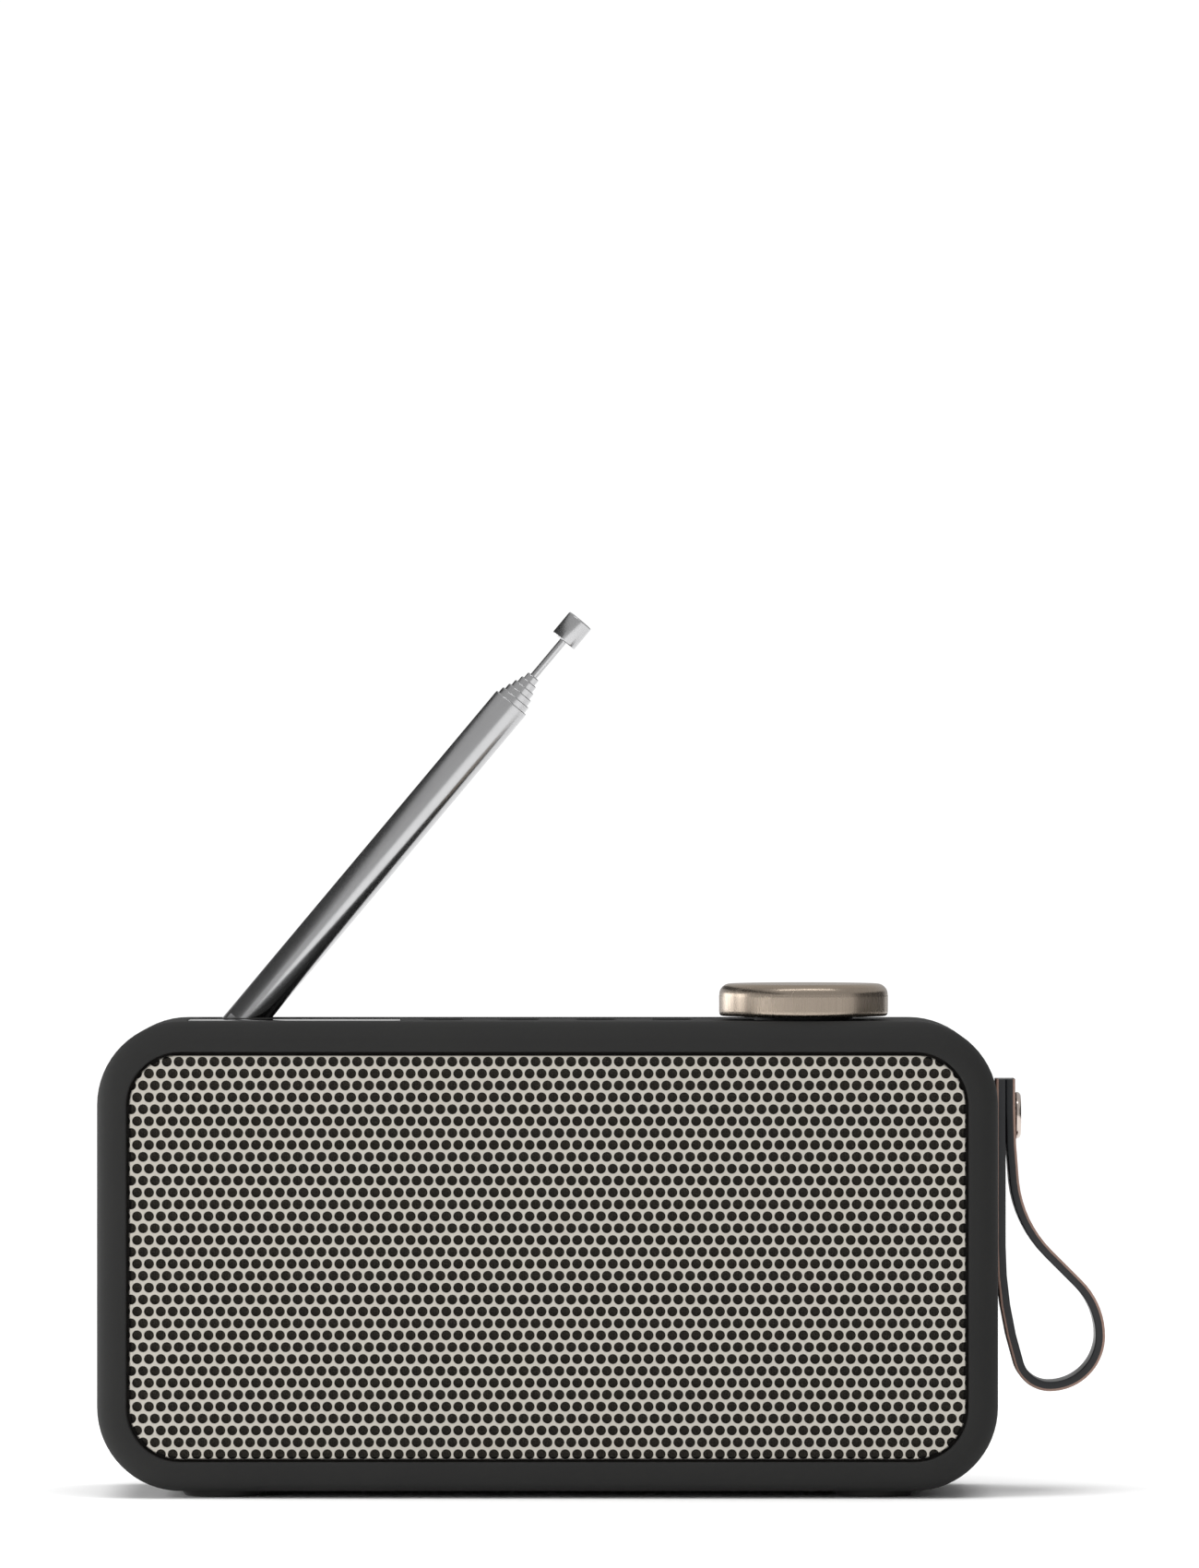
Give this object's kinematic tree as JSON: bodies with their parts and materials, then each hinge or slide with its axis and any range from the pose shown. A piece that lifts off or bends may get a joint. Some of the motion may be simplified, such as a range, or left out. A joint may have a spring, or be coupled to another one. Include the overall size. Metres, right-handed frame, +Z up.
{
  "type": "tabletop radio",
  "caption": "Portable tabletop radio: rounded body, perforated metal front, top knob and keys, folding telescopic aerial and a leather carrying loop.",
  "frame": {"origin": "bottom centre of the whole object's box, on the plane that the feet stand on", "axes": "+Z up, the grille faces -Y, +X towards the strap"},
  "size_m": [0.211, 0.058, 0.1855],
  "materials": {
    "shell": "soft-touch painted moulded plastic",
    "grille_metal": "fine-blasted champagne anodised sheet",
    "black_fabric": "knitted acoustic scrim",
    "foam": "closed-cell foam",
    "board_wood": "fibreboard baffle",
    "pressed_steel": "black-coated pressed steel",
    "ferrite": "sintered ferrite magnet",
    "paper": "pressed paper pulp",
    "rubber": "moulded rubber",
    "chrome": "chromium-plated brass",
    "steel": "zinc-plated steel",
    "knob_metal": "turned, brushed and champagne-anodised",
    "black_plastic": "moulded black plastic",
    "window": "polished dark acrylic",
    "button_plastic": "soft-touch painted button",
    "board": "solder-masked circuit board",
    "chip": "moulded chip packages and inductors",
    "tin": "tin-plated screening can",
    "cell": "sleeved lithium cells",
    "clear": "clear acrylic light pipe",
    "leather": "brown leather strap with painted edges",
    "nickel": "rose-nickel plated stud",
    "brass": "knurled brass insert",
    "copper_lead": "sleeved twin lead"
  },
  "bodies": {
    "housing": {"front_housing": "shell", "rear_cover": "shell", "grille": "grille_metal", "acoustic_cloth": "black_fabric", "grille_gasket": "foam", "speaker_baffle": "board_wood", "driver_screws": "steel", "radiator_frame": "black_plastic", "radiator_surround": "rubber", "aerial_bracket": "steel", "aerial_pin": "steel", "aerial_screw": "steel", "encoder_body": "black_plastic", "tact_switches": "black_plastic", "control_board": "board", "display_window": "window", "display_module": "chip", "main_board": "board", "board_screws": "steel", "tuner_can": "tin", "board_chips": "chip", "battery_cells": "cell", "battery_tray": "black_plastic", "port_board": "board", "usb_socket": "tin", "aux_socket": "black_plastic", "charge_light": "clear", "cover_screws": "steel", "feet": "rubber", "speaker_leads": "copper_lead", "strap_button": "nickel", "strap_insert": "brass", "left_driver_basket": "pressed_steel", "left_driver_magnet": "ferrite", "left_driver_surround": "rubber", "right_driver_basket": "pressed_steel", "right_driver_magnet": "ferrite", "right_driver_surround": "rubber"},
    "knob_plunger": {"encoder_plunger": "black_plastic"},
    "knob": {"knob_cap": "knob_metal", "knob_hub": "black_plastic", "encoder_shaft": "steel"},
    "power_key": {"power_button": "button_plastic"},
    "source_key": {"source_button": "button_plastic"},
    "preset_key": {"preset_button": "button_plastic"},
    "menu_key": {"menu_button": "button_plastic"},
    "mast": {"aerial_knuckle": "chrome", "aerial_tube_1": "chrome"},
    "mast_tube_2": {"aerial_tube_2": "chrome"},
    "mast_tube_3": {"aerial_tube_3": "chrome"},
    "mast_tube_4": {"aerial_tube_4": "chrome"},
    "mast_tube_5": {"aerial_tube_5": "chrome"},
    "mast_tube_6": {"aerial_tube_6": "chrome"},
    "mast_rod": {"aerial_rod": "chrome", "aerial_tip": "chrome"},
    "strap_loop": {"strap": "leather"},
    "left_cone": {"left_driver_cone": "paper"},
    "right_cone": {"right_driver_cone": "paper"},
    "bass_radiator": {"radiator_plate": "pressed_steel"}
  },
  "joints": [
    {"name": "knob_press", "type": "slide", "parent": "housing", "child": "knob_plunger", "axis": [0, 0, -1], "range_m": [0, 0.0005], "stiffness_N_per_m": 2500, "springref_m": -0.0004},
    {"name": "knob_turn", "type": "hinge", "parent": "knob_plunger", "child": "knob", "pos_m": [0.04216, -0.006, 0.0994], "axis": [0, 0, -1], "continuous": true},
    {"name": "power_press", "type": "slide", "parent": "housing", "child": "power_key", "axis": [0, 0, -1], "range_m": [0, 0.0005], "stiffness_N_per_m": 1500, "springref_m": -0.0004},
    {"name": "source_press", "type": "slide", "parent": "housing", "child": "source_key", "axis": [0, 0, -1], "range_m": [0, 0.0005], "stiffness_N_per_m": 1500, "springref_m": -0.0004},
    {"name": "preset_press", "type": "slide", "parent": "housing", "child": "preset_key", "axis": [0, 0, -1], "range_m": [0, 0.0005], "stiffness_N_per_m": 1500, "springref_m": -0.0004},
    {"name": "menu_press", "type": "slide", "parent": "housing", "child": "menu_key", "axis": [0, 0, -1], "range_m": [0, 0.0005], "stiffness_N_per_m": 1500, "springref_m": -0.0004},
    {"name": "aerial_tilt", "type": "hinge", "parent": "housing", "child": "mast", "pos_m": [-0.07904, 0.0175, 0.095], "axis": [0, -1, 0], "range_deg": [-50, 40]},
    {"name": "tube_2_slide", "type": "slide", "parent": "mast", "child": "mast_tube_2", "axis": [0.6428, 0, 0.766], "range_m": [0, 0.07]},
    {"name": "tube_3_slide", "type": "slide", "parent": "mast_tube_2", "child": "mast_tube_3", "axis": [0.6428, 0, 0.766], "range_m": [0, 0.07]},
    {"name": "tube_4_slide", "type": "slide", "parent": "mast_tube_3", "child": "mast_tube_4", "axis": [0.6428, 0, 0.766], "range_m": [0, 0.07]},
    {"name": "tube_5_slide", "type": "slide", "parent": "mast_tube_4", "child": "mast_tube_5", "axis": [0.6428, 0, 0.766], "range_m": [0, 0.07]},
    {"name": "tube_6_slide", "type": "slide", "parent": "mast_tube_5", "child": "mast_tube_6", "axis": [0.6428, 0, 0.766], "range_m": [0, 0.07]},
    {"name": "rod_slide", "type": "slide", "parent": "mast_tube_6", "child": "mast_rod", "axis": [0.6428, 0, 0.766], "range_m": [-0.0092, 0.066]},
    {"name": "strap_swing", "type": "hinge", "parent": "housing", "child": "strap_loop", "pos_m": [0.08466, 0, 0.07915], "axis": [1, 0, 0], "range_deg": [-75, 75]},
    {"name": "left_cone_stroke", "type": "slide", "parent": "housing", "child": "left_cone", "axis": [0, -1, 0], "range_m": [-0.0015, 0.0015], "stiffness_N_per_m": 900, "deforming": ["left_driver_surround"]},
    {"name": "right_cone_stroke", "type": "slide", "parent": "housing", "child": "right_cone", "axis": [0, -1, 0], "range_m": [-0.0015, 0.0015], "stiffness_N_per_m": 900, "deforming": ["right_driver_surround"]},
    {"name": "radiator_stroke", "type": "slide", "parent": "housing", "child": "bass_radiator", "axis": [0, 1, 0], "range_m": [-0.0015, 0.0015], "stiffness_N_per_m": 700, "deforming": ["radiator_surround"]}
  ]
}
